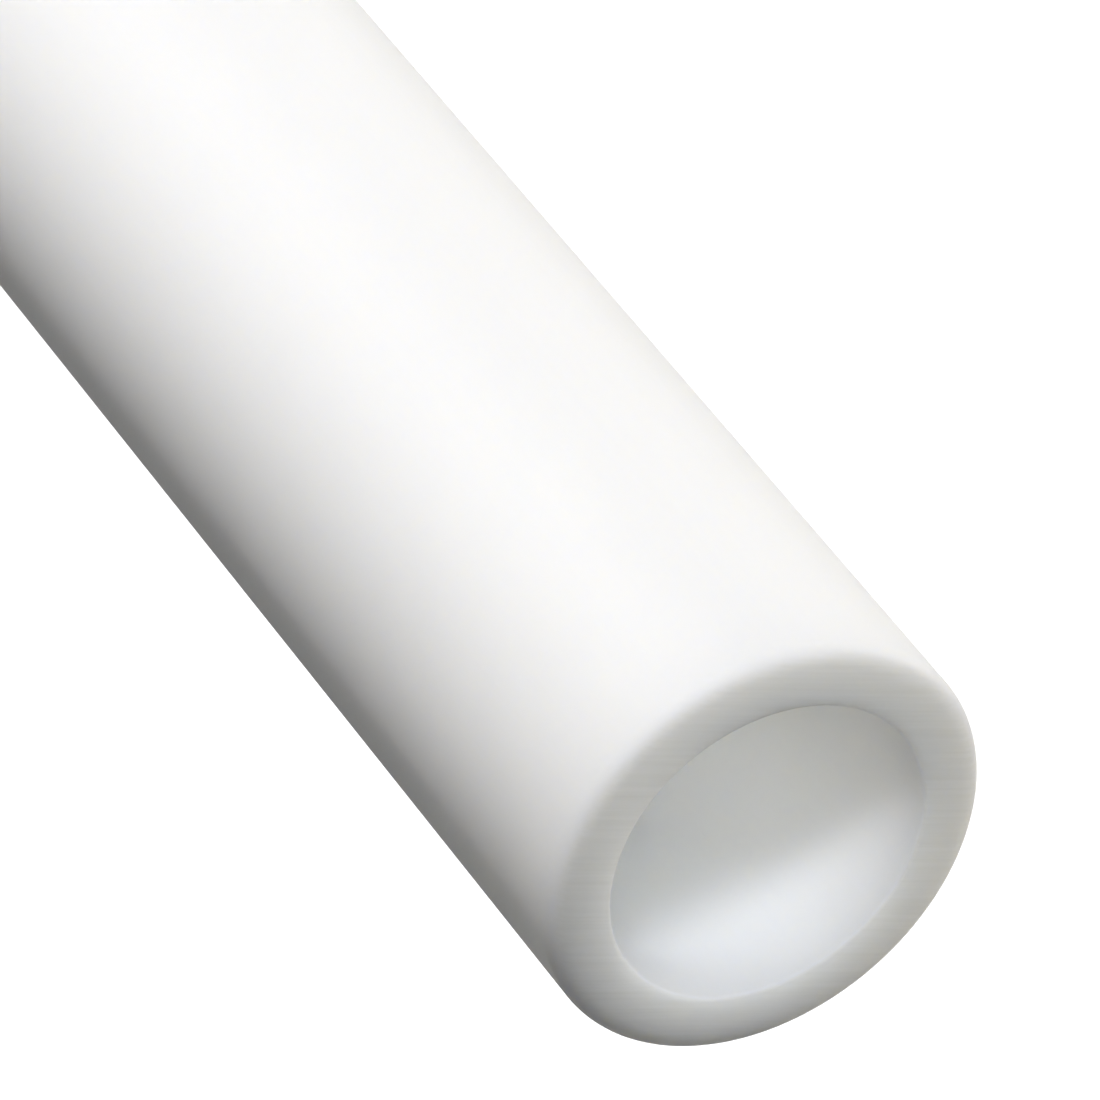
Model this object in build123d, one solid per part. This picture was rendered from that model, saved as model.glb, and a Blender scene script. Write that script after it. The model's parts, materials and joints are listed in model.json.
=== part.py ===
from build123d import *
import os

# Acetal tube: a straight length of thick-walled stock, extruded in one piece and cut off square.
# Millimetres. The tube stands on its lower cut end, with its axis on +Z and the origin on that
# axis at the cut face.

# Driving sizes
outer_diameter = 50.0
wall = 7.0
length = 250.0
# Each cut end is deburred, so its two corners are small rounds: a soft outer one, a fine inner one
outer_edge_round = 2.0
bore_edge_round = 0.5
# Share of a narrow end face that a round may take, so that a flat ring always stays between them
most_of_wall = 0.45

# Sizes that follow
outer_radius = outer_diameter / 2
bore_radius = outer_radius - wall
outer_round = min(outer_edge_round, most_of_wall * wall)
bore_round = min(bore_edge_round, most_of_wall * wall)


def wall_section():
    """Half section of the wall: a tall rectangle with a round on each of its four corners."""
    with BuildSketch(Plane.XZ) as section:
        with Locations((bore_radius, 0)):
            Rectangle(wall, length, align=(Align.MIN, Align.MIN))
        fillet(section.vertices().group_by(Axis.X)[-1], radius=outer_round)
        fillet(section.vertices().group_by(Axis.X)[0], radius=bore_round)
    return section.sketch


def tube():
    """The wall section turned once around the axis, which leaves the bore open right through."""
    with BuildPart() as body:
        add(wall_section())
        revolve(axis=Axis.Z, revolution_arc=360)
    return body.part


os.makedirs("parts", exist_ok=True)
export_step(tube(), "parts/tube.step")
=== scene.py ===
import json
import math

import bmesh
import bpy
from bpy.props import FloatProperty, FloatVectorProperty, IntProperty, PointerProperty
from mathutils import Matrix, Vector


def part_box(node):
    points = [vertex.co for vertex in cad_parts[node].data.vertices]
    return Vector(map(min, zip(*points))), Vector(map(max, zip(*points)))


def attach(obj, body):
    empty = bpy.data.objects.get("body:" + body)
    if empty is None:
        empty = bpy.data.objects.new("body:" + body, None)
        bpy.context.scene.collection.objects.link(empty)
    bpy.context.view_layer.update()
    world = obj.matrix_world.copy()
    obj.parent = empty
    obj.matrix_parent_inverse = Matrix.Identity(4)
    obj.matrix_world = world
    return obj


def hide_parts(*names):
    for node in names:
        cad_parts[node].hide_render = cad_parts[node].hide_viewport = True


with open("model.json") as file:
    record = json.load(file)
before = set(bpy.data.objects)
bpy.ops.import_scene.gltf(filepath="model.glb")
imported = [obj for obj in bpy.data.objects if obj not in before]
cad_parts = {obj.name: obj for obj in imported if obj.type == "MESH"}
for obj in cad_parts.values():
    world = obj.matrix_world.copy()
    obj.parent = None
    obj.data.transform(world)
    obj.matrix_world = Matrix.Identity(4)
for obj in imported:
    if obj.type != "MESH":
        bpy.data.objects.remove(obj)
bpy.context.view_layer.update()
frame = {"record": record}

# Natural acetal tube: a length of thick-walled stock that stands on its lower cut end.
# Metres, with the tube's axis on +Z and the origin on that axis at the lower cut end.

bl_info = {
    "name": "Acetal tube",
    "version": (1, 0, 0),
    "blender": (4, 5, 0),
    "location": "3D View > Sidebar > Acetal tube",
    "description": "A thick-walled tube of natural acetal, cut off square, on a pale studio floor",
    "category": "Mesh",
}

MM = 0.001

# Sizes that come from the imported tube: its length from its box, the rest from its mounts. Each
# mount is as long as the straight part of its wall, so what is left over is the two end rounds.
MOUNT_SIZES = {mount["name"]: mount["dims"] for mount in frame["record"]["mounts"]}
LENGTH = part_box("tube")[1].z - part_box("tube")[0].z
OUTER_RADIUS = MOUNT_SIZES["outside"]["r_mm"] * MM
BORE_RADIUS = MOUNT_SIZES["bore"]["r_mm"] * MM
OUTER_ROUND = (LENGTH - MOUNT_SIZES["outside"]["length_mm"] * MM) / 2
BORE_ROUND = (LENGTH - MOUNT_SIZES["bore"]["length_mm"] * MM) / 2

# Corners closer than this are one corner
MERGE_DISTANCE = 0.001 * MM
# Facets in a quarter turn of an end round
ROUND_SEGMENTS = 8
# A loop this far from a round keeps its shading from running over the flat or the wall beside it
HOLDING_GAP = 0.25 * MM
# A face belongs to a flat end when the upright part of its normal is more than this
FLAT_END_NORMAL = 0.9999
# Facets in one turn of the floor's edge
FLOOR_FACETS = 64

# Refractive index of acetal
ACETAL_IOR = 1.48
# Strength of the skin's shine, where 0.5 is all that the refractive index gives
SHINE_LEVEL = 0.25
# How far red, green and blue light travel through the wall, as shares of the glow depth. Red
# travels a little further than blue, so the glow is a bit warm.
GLOW_SHARES = (1.0, 0.95, 0.82)
# How far the roughness of a surface goes either way from its middle
ROUGHNESS_SPREAD = 0.1
# Strength of each finer layer of a random pattern, as a share of the coarser one before it
LAYER_SHARE = 0.6
# Way across the cut ends in which the saw ran
SAW_DIRECTION = math.radians(-51)
# How many times longer than wide the marks and the clouds are
DIE_LINE_STRETCH = 120
SAW_MARK_STRETCH = 40
CLOUD_STRETCH = 2.5
CLOUD_SIZE = 14 * MM
# The finish of the cut ends begins, and is complete, where the upright part of the normal is this
CUT_END_START = 0.6
CUT_END_FULL = 0.98

# The floor's paper as it is seen, and the darker grey with which it throws light back
PAPER_SEEN = "#E7E7E7"
PAPER_BOUNCE = "#6D6D6D"

# At this irradiance a matt surface that faces the lamp shows in its own colour
FULL_LIGHT = math.pi
# Colours of the lamps' light
COOL_WHITE = "#F6F8FE"
WARM_WHITE = "#FFFBF2"

# The far softboxes, as seen from the tube: degrees round it from the camera's side towards +X,
# degrees above the floor, degrees across, strength, where 1 shows a facing surface in its own
# colour, and colour
SOFTBOXES = {
    "key_softbox": (-20, 22, 12, 0.575, COOL_WHITE),
    "side_strip": (-120, 4, 20, 0.49, WARM_WHITE),
    "fill_softbox": (60, 24, 20, 0.03, WARM_WHITE),
    "back_strip": (170, 4, 30, 0.1, WARM_WHITE),
}

# The snooted lamps, which shine down into the bore only: degrees round it, degrees above the
# floor, and strength
SNOOTS = {
    "middle_snoot": (0, 55, 0.46),
    "near_snoot": (-30, 55, 0.14),
    "side_snoot": (-60, 40, 0.26),
}
SNOOT_COLOUR = "#FAFEFC"
# From the upper mouth of the bore to a snooted lamp, and that lamp's radius
SNOOT_DISTANCE = 1.5
SNOOT_RADIUS = 10 * MM
# Share of its beam that fades out
SNOOT_BLEND = 0.3

# The low lamps stand close to the tube, so that their light is strongest at their own height and
# falls off towards its ends: degrees round it, height on the axis aimed at, radius of the beam
# there, radius of the lamp, and strength. The back one's beam has nearly faded out at the upper
# rim, so that it lights the back of the tube and hardly reaches the rim and the bore.
LOW_LAMPS = {
    "front_low_lamp": (-10, 100 * MM, 700 * MM, 120 * MM, 0.61),
    "side_low_lamp": (-120, 100 * MM, 700 * MM, 120 * MM, 0.19),
    "back_low_lamp": (180, 60 * MM, 200 * MM, 60 * MM, 0.6),
}
LOW_LAMP_COLOUR = WARM_WHITE
LOW_LAMP_DISTANCE = 0.5
# Degrees above the height that they are aimed at
LOW_LAMP_RISE = 3
# Share of their beams that fades out, which is all of it, so that no edge of a beam shows
LOW_LAMP_BLEND = 1.0

# Width of the camera's sensor, in millimetres
SENSOR_WIDTH = 36
# Nearest and farthest that the camera sees
CLIP_START = 0.01
CLIP_END = 50


def linear(hex_colour):
    """An sRGB hex colour as linear red, green, blue and alpha."""
    channels = [int(hex_colour[i:i + 2], 16) / 255 for i in (1, 3, 5)]
    return tuple(
        c / 12.92 if c <= 0.04045 else ((c + 0.055) / 1.055) ** 2.4 for c in channels
    ) + (1.0,)


def add_node(tree, kind, settings=None, sockets=None):
    """Add a node with its settings, and its sockets filled with values or linked to outputs."""
    node = tree.nodes.new(kind)
    for name, value in (settings or {}).items():
        setattr(node, name, value)
    for name, value in (sockets or {}).items():
        if isinstance(value, bpy.types.NodeSocket):
            tree.links.new(value, node.inputs[name])
        else:
            node.inputs[name].default_value = value
    return node


class TubeSizes(bpy.types.PropertyGroup):
    outer_radius: FloatProperty(
        name="Outside radius",
        description="Radius of the outside of the tube",
        default=OUTER_RADIUS, min=0.001, unit="LENGTH", subtype="DISTANCE",
    )
    bore_radius: FloatProperty(
        name="Bore radius",
        description="Radius of the open bore",
        default=BORE_RADIUS, min=0.0005, unit="LENGTH", subtype="DISTANCE",
    )
    length: FloatProperty(
        name="Length",
        description="Length from one cut end to the other",
        default=LENGTH, min=0.005, unit="LENGTH", subtype="DISTANCE",
    )
    outer_round: FloatProperty(
        name="Outer edge round",
        description="Radius of the deburred outer corner of each cut end",
        default=OUTER_ROUND, min=0.00005, unit="LENGTH", subtype="DISTANCE",
    )
    bore_round: FloatProperty(
        name="Bore edge round",
        description="Radius of the deburred corner at each mouth of the bore",
        default=BORE_ROUND, min=0.00005, unit="LENGTH", subtype="DISTANCE",
    )
    facets: IntProperty(
        name="Facets round",
        description="Facets in one turn round the axis",
        default=256, min=32,
    )
    ring_spacing: FloatProperty(
        name="Ring spacing",
        description="Height of one ring of faces on the straight walls",
        default=10 * MM, min=0.001, unit="LENGTH", subtype="DISTANCE",
    )


class AcetalFinish(bpy.types.PropertyGroup):
    wall_colour: FloatVectorProperty(
        name="Wall colour",
        description="Natural white of the extruded walls",
        default=linear("#FDFDFC"), size=4, min=0.0, max=1.0, subtype="COLOR",
    )
    wall_shade: FloatVectorProperty(
        name="Wall shade",
        description="The little greyer white in the drawn lines of the walls",
        default=linear("#F8F8F6"), size=4, min=0.0, max=1.0, subtype="COLOR",
    )
    # The two cut face colours together average a little greyer and warmer than the wall. Part of
    # this is the saw marks' own tone, and part is painted shade for the dimmer light that the flat
    # ends get.
    cut_colour: FloatVectorProperty(
        name="Cut face colour",
        description="White of the sawn end, which its fine scratches turn a little grey",
        default=linear("#FFFEF8"), size=4, min=0.0, max=1.0, subtype="COLOR",
    )
    cut_marks_and_painted_shade: FloatVectorProperty(
        name="Cut face shade",
        description="The greyer white in the saw marks",
        default=linear("#F1F0E8"), size=4, min=0.0, max=1.0, subtype="COLOR",
    )
    glow_depth: FloatProperty(
        name="Glow depth",
        description="How far light that has sunk into the wall spreads before it comes out",
        default=12 * MM, min=0.0001, unit="LENGTH", subtype="DISTANCE",
    )
    wall_roughness: FloatProperty(
        name="Wall roughness",
        description="Satin of the extruded walls",
        default=0.56, min=0.0, max=1.0, subtype="FACTOR",
    )
    cut_roughness: FloatProperty(
        name="Cut face roughness",
        description="Matt of the sawn and deburred end",
        default=0.66, min=0.0, max=1.0, subtype="FACTOR",
    )
    die_line_spacing: FloatProperty(
        name="Die line spacing",
        description="Distance between the faint lines that the die draws along the tube",
        default=1.2 * MM, min=0.0001, unit="LENGTH", subtype="DISTANCE",
    )
    die_line_depth: FloatProperty(
        name="Die line depth",
        description="Depth of the die's lines",
        default=0.003 * MM, min=0.0, unit="LENGTH", subtype="DISTANCE", precision=6,
    )
    saw_mark_spacing: FloatProperty(
        name="Saw mark spacing",
        description="Distance between the saw's marks across the cut ends",
        default=0.45 * MM, min=0.0001, unit="LENGTH", subtype="DISTANCE",
    )
    saw_mark_depth: FloatProperty(
        name="Saw mark depth",
        description="Depth of the saw's marks that the deburring has left",
        default=0.002 * MM, min=0.0, unit="LENGTH", subtype="DISTANCE", precision=6,
    )


class StudioSettings(bpy.types.PropertyGroup):
    lamp_strength: FloatProperty(
        name="Lamp strength",
        description="Strength of all lamps together",
        default=1.0, min=0.0,
    )
    floor_radius: FloatProperty(
        name="Floor radius",
        description="Radius of the pale floor",
        default=4.0, min=0.1, unit="LENGTH", subtype="DISTANCE",
    )
    foot_glow: FloatProperty(
        name="Floor glow at the foot",
        description="White that the floor shows of itself beside the tube, under the lamps' light",
        default=0.76, min=0.0, max=1.0, subtype="FACTOR",
    )
    foot_radius: FloatProperty(
        name="Foot radius",
        description="Distance from the axis at which the floor has turned to plain white",
        default=110 * MM, min=0.01, unit="LENGTH", subtype="DISTANCE",
    )
    camera_distance: FloatProperty(
        name="Camera distance",
        description="From the centre of the upper cut end to the camera",
        default=1.1548, min=0.1, unit="LENGTH", subtype="DISTANCE",
    )
    camera_height: FloatProperty(
        name="Camera height",
        description="Angle of the camera above the upper cut end",
        default=math.radians(41.812), unit="ROTATION", subtype="ANGLE",
    )
    camera_turn: FloatProperty(
        name="Camera turn",
        description="Angle by which the camera looks past the axis, towards +X",
        default=math.radians(-0.180), unit="ROTATION", subtype="ANGLE",
    )
    camera_pitch: FloatProperty(
        name="Camera pitch",
        description="Angle by which the camera looks down",
        default=math.radians(43.692), unit="ROTATION", subtype="ANGLE",
    )
    camera_roll: FloatProperty(
        name="Camera roll",
        description="Turn of the camera about its own line of sight, which lays the tube aslant",
        default=math.radians(140.160), unit="ROTATION", subtype="ANGLE",
    )
    lens: FloatProperty(
        name="Lens",
        description="Focal length in millimetres on a sensor 36 mm wide",
        default=372.47, min=1.0,
    )


def level_loops(shape, radius):
    """The edges that run round the axis at this radius."""
    def at_radius(vertex):
        return abs(vertex.co.xy.length - radius) < MERGE_DISTANCE

    def is_level(edge):
        return abs(edge.verts[0].co.z - edge.verts[1].co.z) < MERGE_DISTANCE

    return [edge for edge in shape.edges if is_level(edge) and all(map(at_radius, edge.verts))]


def tube_mesh(sizes):
    """The wall as one closed skin: its section spun round the axis, with end corners rounded."""
    shape = bmesh.new()
    section = [
        (sizes.bore_radius, 0, 0),
        (sizes.outer_radius, 0, 0),
        (sizes.outer_radius, 0, sizes.length),
        (sizes.bore_radius, 0, sizes.length),
    ]
    corners = [shape.verts.new(corner) for corner in section]
    sides = [shape.edges.new((corners[i - 1], corners[i])) for i in range(len(corners))]
    bmesh.ops.spin(
        shape, geom=corners + sides, cent=(0, 0, 0), axis=(0, 0, 1),
        angle=math.tau, steps=sizes.facets, use_merge=True,
    )
    bmesh.ops.remove_doubles(shape, verts=shape.verts, dist=MERGE_DISTANCE)
    bmesh.ops.recalc_face_normals(shape, faces=shape.faces)
    for radius, rounding in (
        (sizes.outer_radius, sizes.outer_round),
        (sizes.bore_radius, sizes.bore_round),
    ):
        bmesh.ops.bevel(
            shape, geom=level_loops(shape, radius), offset=rounding, offset_type="OFFSET",
            segments=ROUND_SEGMENTS, profile=0.5, affect="EDGES", material=-1,
        )
    hold_rounds(shape)
    cut_rings(shape, sizes)
    mesh = bpy.data.meshes.new("acetal_tube")
    shape.to_mesh(mesh)
    shape.free()
    mesh.shade_smooth()
    return mesh


def hold_rounds(shape):
    """A narrow border round each flat end face, so that its middle is shaded flat."""
    flat = [face for face in shape.faces if abs(face.normal.z) > FLAT_END_NORMAL]
    bmesh.ops.inset_region(
        shape, faces=flat, thickness=HOLDING_GAP, depth=0, use_boundary=True, use_even_offset=True,
    )


def cut_rings(shape, sizes):
    """Cut the straight walls into rings, with the end cuts close beside the outer rounds."""
    first = sizes.outer_round + HOLDING_GAP
    straight = sizes.length - 2 * first
    rings = max(1, round(straight / sizes.ring_spacing))
    for i in range(rings + 1):
        height = first + straight * i / rings
        bmesh.ops.bisect_plane(
            shape, geom=shape.verts[:] + shape.edges[:] + shape.faces[:], dist=MERGE_DISTANCE,
            plane_co=(0, 0, height), plane_no=(0, 0, 1),
        )


def pattern(tree, place, size, stretch, turn=0.0, detail=2.0):
    """A soft random pattern of this size, from 0 to 1, turned about Z and drawn out by stretch."""
    # This kind of mapping turns the place first, so the pattern is drawn out along its own turned
    # axes
    laid = add_node(tree, "ShaderNodeMapping", {"vector_type": "TEXTURE"}, {
        "Vector": place, "Rotation": (0.0, 0.0, turn), "Scale": stretch,
    }).outputs["Vector"]
    return add_node(tree, "ShaderNodeTexNoise", sockets={
        "Vector": laid, "Scale": 1 / size, "Detail": detail, "Roughness": LAYER_SHARE,
    }).outputs["Fac"]


def blend_colours(tree, factor, first, second):
    """Two colours mixed by a factor, where 0 is the first."""
    # A Mix node has sockets of the same name for every kind of value, so they go by number
    return add_node(tree, "ShaderNodeMix", {"data_type": "RGBA"}, {
        0: factor, 6: first, 7: second,
    }).outputs[2]


def blend_numbers(tree, factor, first, second):
    """Two numbers mixed by a factor, where 0 is the first."""
    return add_node(tree, "ShaderNodeMix", {"data_type": "FLOAT"}, {
        0: factor, 2: first, 3: second,
    }).outputs[0]


def natural_acetal(finish):
    """Natural acetal, extruded through a die and sawn off.

    Light sinks into it and comes out about a centimetre away, so that corners glow and shadows
    are soft. The die leaves a satin wall with faint lines along it, and the saw leaves matt ends,
    whose colour is painted a little greyer than the wall's, as painted shade for their dimmer
    light.
    """
    material = bpy.data.materials.new("natural acetal, extruded and sawn")
    material.use_nodes = True
    tree = material.node_tree
    tree.nodes.clear()
    coordinates = add_node(tree, "ShaderNodeTexCoord").outputs
    place = coordinates["Object"]

    # Die lines are some tens of micrometres apart and too fine to show, so they are drawn coarser
    die_lines = pattern(tree, place, finish.die_line_spacing, (1, 1, DIE_LINE_STRETCH), detail=3.0)
    # The polymer cools unevenly, which leaves soft clouds in the white
    clouds = pattern(tree, place, CLOUD_SIZE, (1, 1, CLOUD_STRETCH), detail=1.0)
    # A saw's marks run one way across the whole end, also drawn coarser than the real ones
    saw_marks = pattern(
        tree, place, finish.saw_mark_spacing, (SAW_MARK_STRETCH, 1, 1), turn=SAW_DIRECTION,
    )

    facing = add_node(tree, "ShaderNodeSeparateXYZ", sockets={
        0: coordinates["Normal"],
    }).outputs["Z"]
    upright = add_node(tree, "ShaderNodeMath", {"operation": "ABSOLUTE"}, {0: facing}).outputs[0]
    on_cut_end = add_node(tree, "ShaderNodeMapRange", {"interpolation_type": "SMOOTHSTEP"}, {
        "Value": upright, "From Min": CUT_END_START, "From Max": CUT_END_FULL,
    }).outputs["Result"]

    wall_mix = add_node(tree, "ShaderNodeMath", {"operation": "MULTIPLY"}, {
        0: die_lines, 1: clouds,
    }).outputs[0]
    wall = blend_colours(tree, wall_mix, finish.wall_colour, finish.wall_shade)
    # On the cut ends the saw-mark pattern is their own texture, and their greyer overall tone is
    # painted shade
    cut = blend_colours(tree, saw_marks, finish.cut_colour, finish.cut_marks_and_painted_shade)
    colour = blend_colours(tree, on_cut_end, wall, cut)
    # The ridges are rubbed smoother than the grooves between them
    roughness = blend_numbers(
        tree, on_cut_end,
        spread(tree, die_lines, finish.wall_roughness),
        spread(tree, saw_marks, finish.cut_roughness),
    )
    ridges = blend_numbers(
        tree, on_cut_end,
        scaled(tree, die_lines, finish.die_line_depth),
        scaled(tree, saw_marks, finish.saw_mark_depth),
    )
    relief = add_node(tree, "ShaderNodeBump", sockets={
        "Strength": 1.0, "Distance": 1.0, "Height": ridges,
    }).outputs["Normal"]
    surface = add_node(tree, "ShaderNodeBsdfPrincipled", {"subsurface_method": "RANDOM_WALK"}, {
        "Base Color": colour,
        "Roughness": roughness,
        "IOR": ACETAL_IOR,
        "Specular IOR Level": SHINE_LEVEL,
        "Subsurface Weight": 1.0,
        "Subsurface Radius": GLOW_SHARES,
        "Subsurface Scale": finish.glow_depth,
        "Normal": relief,
    })
    add_node(tree, "ShaderNodeOutputMaterial", sockets={"Surface": surface.outputs["BSDF"]})
    return material


def scaled(tree, value, factor):
    """A pattern from 0 to 1 as a height in metres."""
    return add_node(tree, "ShaderNodeMath", {"operation": "MULTIPLY"}, {
        0: value, 1: factor,
    }).outputs[0]


def spread(tree, value, middle):
    """A pattern from 0 to 1 as a roughness, which is lower where the pattern stands high."""
    return blend_numbers(tree, value, middle + ROUGHNESS_SPREAD, middle - ROUGHNESS_SPREAD)


class TUBE_OT_tube(bpy.types.Operator):
    """Spin the wall's section round the axis, round its end corners and give it its acetal"""
    bl_idname = "acetal_tube.tube"
    bl_label = "Tube"

    def execute(self, context):
        scene = context.scene
        tube = bpy.data.objects.new("acetal_tube", tube_mesh(scene.tube_sizes))
        scene.collection.objects.link(tube)
        tube.data.materials.append(natural_acetal(scene.acetal_finish))
        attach(tube, "root")
        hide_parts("tube")
        return {"FINISHED"}


def seen_directly(tree):
    """1 for rays from the camera and for what gloss and glass show, 0 for light that bounces."""
    ray = add_node(tree, "ShaderNodeLightPath").outputs
    gloss = add_node(tree, "ShaderNodeMath", {"operation": "MAXIMUM"}, {
        0: ray["Is Glossy Ray"], 1: ray["Is Transmission Ray"],
    }).outputs[0]
    return add_node(tree, "ShaderNodeMath", {"operation": "MAXIMUM"}, {
        0: ray["Is Camera Ray"], 1: gloss,
    }).outputs[0]


def pale_floor(studio):
    """Pale matt studio paper: it shows as white of its own, and keeps a soft shadow at the foot."""
    material = bpy.data.materials.new("pale matt studio paper")
    material.use_nodes = True
    tree = material.node_tree
    tree.nodes.clear()
    place = add_node(tree, "ShaderNodeTexCoord").outputs["Object"]
    distance = add_node(tree, "ShaderNodeVectorMath", {"operation": "LENGTH"}, {
        0: place,
    }).outputs["Value"]
    glow = add_node(tree, "ShaderNodeMapRange", {"interpolation_type": "SMOOTHSTEP"}, {
        "Value": distance, "From Min": OUTER_RADIUS, "From Max": studio.foot_radius,
        "To Min": studio.foot_glow, "To Max": 1.0,
    }).outputs["Result"]
    seen = seen_directly(tree)
    strength = add_node(tree, "ShaderNodeMath", {"operation": "MULTIPLY"}, {
        0: glow, 1: seen,
    }).outputs[0]
    # Paper that threw back as much light as it seems to would wash out the tube's dark side
    colour = blend_colours(tree, seen, linear(PAPER_BOUNCE), linear(PAPER_SEEN))
    surface = add_node(tree, "ShaderNodeBsdfPrincipled", sockets={
        "Base Color": colour,
        "Roughness": 1.0,
        "Specular IOR Level": 0.0,
        "Emission Color": linear("#FFFFFF"),
        "Emission Strength": strength,
    })
    add_node(tree, "ShaderNodeOutputMaterial", sockets={"Surface": surface.outputs["BSDF"]})
    return material


def white_world():
    """A world that is white where it is seen, and gives no light, which the lamps do."""
    world = bpy.data.worlds.new("white studio")
    world.use_nodes = True
    tree = world.node_tree
    tree.nodes.clear()
    background = add_node(tree, "ShaderNodeBackground", sockets={
        "Color": linear("#FFFFFF"), "Strength": seen_directly(tree),
    })
    add_node(tree, "ShaderNodeOutputWorld", sockets={"Surface": background.outputs["Background"]})
    return world


def towards(azimuth, height):
    """Unit vector from the tube to a lamp or camera, from degrees round it and above the floor."""
    turn = math.radians(azimuth)
    rise = math.radians(height)
    level = math.cos(rise)
    return Vector((math.sin(turn) * level, -math.cos(turn) * level, math.sin(rise)))


def add_softbox(collection, name, azimuth, height, across, strength, colour):
    """A lamp so far away that only its direction and its angle across count."""
    lamp = bpy.data.lights.new(name, "SUN")
    lamp.energy = FULL_LIGHT * strength
    lamp.angle = math.radians(across)
    lamp.color = linear(colour)[:3]
    holder = bpy.data.objects.new(name, lamp)
    holder.matrix_world = towards(azimuth, height).to_track_quat("Z", "Y").to_matrix().to_4x4()
    collection.objects.link(holder)


def add_spot(
    collection, name, direction, aim, distance, radius, beam, blend, flat, strength, colour,
):
    """A lamp at a real distance, aimed at a height on the axis, with a beam of this radius there.

    The blend is the share of the beam that fades out, and flat squeezes the beam in height.
    """
    lamp = bpy.data.lights.new(name, "SPOT")
    # A point lamp's power is spread over a whole sphere by the time it reaches that height
    lamp.energy = 4 * math.pi * distance ** 2 * FULL_LIGHT * strength
    lamp.color = linear(colour)[:3]
    lamp.shadow_soft_size = radius
    lamp.spot_size = 2 * math.atan(beam / distance)
    lamp.spot_blend = blend
    holder = bpy.data.objects.new(name, lamp)
    holder.matrix_world = Matrix.LocRotScale(
        Vector((0, 0, aim)) + direction * distance,
        direction.to_track_quat("Z", "Y"),
        Vector((1.0, flat, 1.0)),
    )
    collection.objects.link(holder)


def add_camera(collection, sizes, studio):
    """A long lens that looks down on the upper end, rolled so that the tube lies aslant."""
    camera = bpy.data.cameras.new("camera")
    camera.sensor_width = SENSOR_WIDTH
    camera.lens = studio.lens
    camera.clip_start = CLIP_START
    camera.clip_end = CLIP_END
    holder = bpy.data.objects.new("camera", camera)
    away = towards(0, math.degrees(studio.camera_height)) * studio.camera_distance
    holder.matrix_world = (
        Matrix.Translation(Vector((0, 0, sizes.length)) + away)
        @ Matrix.Rotation(-studio.camera_turn, 4, "Z")
        @ Matrix.Rotation(math.pi / 2 - studio.camera_pitch, 4, "X")
        @ Matrix.Rotation(studio.camera_roll, 4, "Z")
    )
    collection.objects.link(holder)
    return holder


class TUBE_OT_studio(bpy.types.Operator):
    """Lay the pale floor, set up the lamps and the white world, and aim the camera"""
    bl_idname = "acetal_tube.studio"
    bl_label = "Studio"

    def execute(self, context):
        scene = context.scene
        sizes = scene.tube_sizes
        studio = scene.studio_settings
        shape = bmesh.new()
        bmesh.ops.create_circle(
            shape, cap_ends=True, segments=FLOOR_FACETS, radius=studio.floor_radius,
        )
        mesh = bpy.data.meshes.new("floor")
        shape.to_mesh(mesh)
        shape.free()
        mesh.materials.append(pale_floor(studio))
        floor = bpy.data.objects.new("floor", mesh)
        scene.collection.objects.link(floor)
        for name, (azimuth, height, across, strength, colour) in SOFTBOXES.items():
            level = strength * studio.lamp_strength
            add_softbox(scene.collection, name, azimuth, height, across, level, colour)
        for name, (azimuth, height, strength) in SNOOTS.items():
            direction = towards(azimuth, height)
            # From that height the mouth looks flattened, and so is the beam that fills it
            add_spot(
                scene.collection, name, direction, aim=sizes.length, distance=SNOOT_DISTANCE,
                radius=SNOOT_RADIUS, beam=sizes.bore_radius - sizes.bore_round, blend=SNOOT_BLEND,
                flat=direction.z, strength=strength * studio.lamp_strength, colour=SNOOT_COLOUR,
            )
        for name, (azimuth, aim, beam, radius, strength) in LOW_LAMPS.items():
            add_spot(
                scene.collection, name, towards(azimuth, LOW_LAMP_RISE), aim=aim,
                distance=LOW_LAMP_DISTANCE, radius=radius, beam=beam, blend=LOW_LAMP_BLEND,
                flat=1.0, strength=strength * studio.lamp_strength, colour=LOW_LAMP_COLOUR,
            )
        scene.world = white_world()
        scene.camera = add_camera(scene.collection, sizes, studio)
        scene.view_settings.view_transform = "Standard"
        return {"FINISHED"}


class TUBE_PT_panel(bpy.types.Panel):
    """The tube's sizes and finish and the studio's settings, above the buttons that use them"""
    bl_idname = "TUBE_PT_panel"
    bl_label = "Acetal tube"
    bl_space_type = "VIEW_3D"
    bl_region_type = "UI"
    bl_category = "Acetal tube"

    def draw(self, context):
        scene = context.scene
        for operator, groups in (
            (TUBE_OT_tube, (scene.tube_sizes, scene.acetal_finish)),
            (TUBE_OT_studio, (scene.studio_settings,)),
        ):
            box = self.layout.box()
            for group in groups:
                for name in group.__annotations__:
                    box.prop(group, name)
            box.operator(operator.bl_idname)


CLASSES = (TubeSizes, AcetalFinish, StudioSettings, TUBE_OT_tube, TUBE_OT_studio, TUBE_PT_panel)


def register():
    for each in CLASSES:
        bpy.utils.register_class(each)
    bpy.types.Scene.tube_sizes = PointerProperty(type=TubeSizes)
    bpy.types.Scene.acetal_finish = PointerProperty(type=AcetalFinish)
    bpy.types.Scene.studio_settings = PointerProperty(type=StudioSettings)


def unregister():
    del bpy.types.Scene.studio_settings
    del bpy.types.Scene.acetal_finish
    del bpy.types.Scene.tube_sizes
    for each in reversed(CLASSES):
        bpy.utils.unregister_class(each)


def main():
    register()
    bpy.ops.acetal_tube.studio()
    bpy.ops.acetal_tube.tube()


if __name__ == "__main__":
    main()
